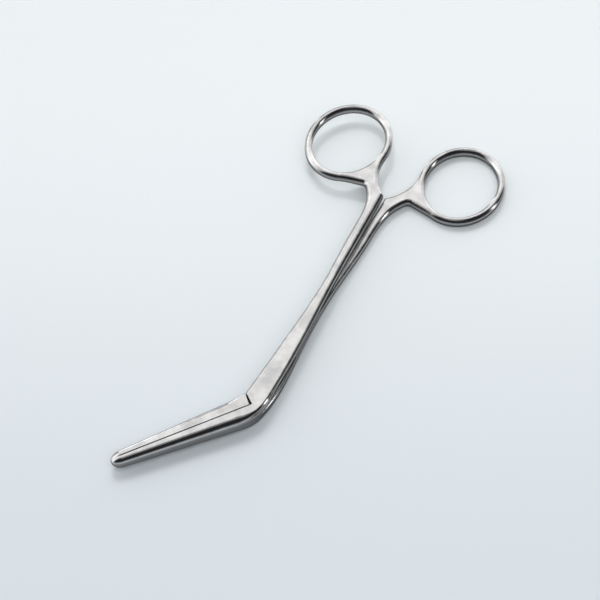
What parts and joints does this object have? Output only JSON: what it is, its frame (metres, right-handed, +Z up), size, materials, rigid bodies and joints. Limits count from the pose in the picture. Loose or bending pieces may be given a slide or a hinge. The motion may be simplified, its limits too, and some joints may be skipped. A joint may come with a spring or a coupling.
{
  "type": "hemostat forceps",
  "caption": "Slim steel forceps with crossing arms on a flush rivet, oval finger rings, and toothed jaws bent sideways from the shanks.",
  "frame": {"origin": "on the pivot's axis, level with the surface the closed forceps lie on", "axes": "+Y along the closed shanks towards the finger rings, +Z up through the rivet, out of the flat side; the jaws bend towards -X"},
  "size_m": [0.0619, 0.1471, 0.0059],
  "materials": {
    "upper_arm": "satin stainless steel with polished rounded edges",
    "lower_arm": "satin stainless steel with polished rounded edges",
    "pivot_rivet": "ground flush with the satin plates"
  },
  "bodies": {
    "lower_arm": {"lower_arm": "lower_arm", "pivot_rivet": "pivot_rivet"},
    "upper_arm": {"upper_arm": "upper_arm"}
  },
  "joints": [
    {"name": "pivot", "type": "hinge", "parent": "lower_arm", "child": "upper_arm", "pos_m": [0, 0, 0], "axis": [0, 0, 1], "range_deg": [0, 40]}
  ]
}
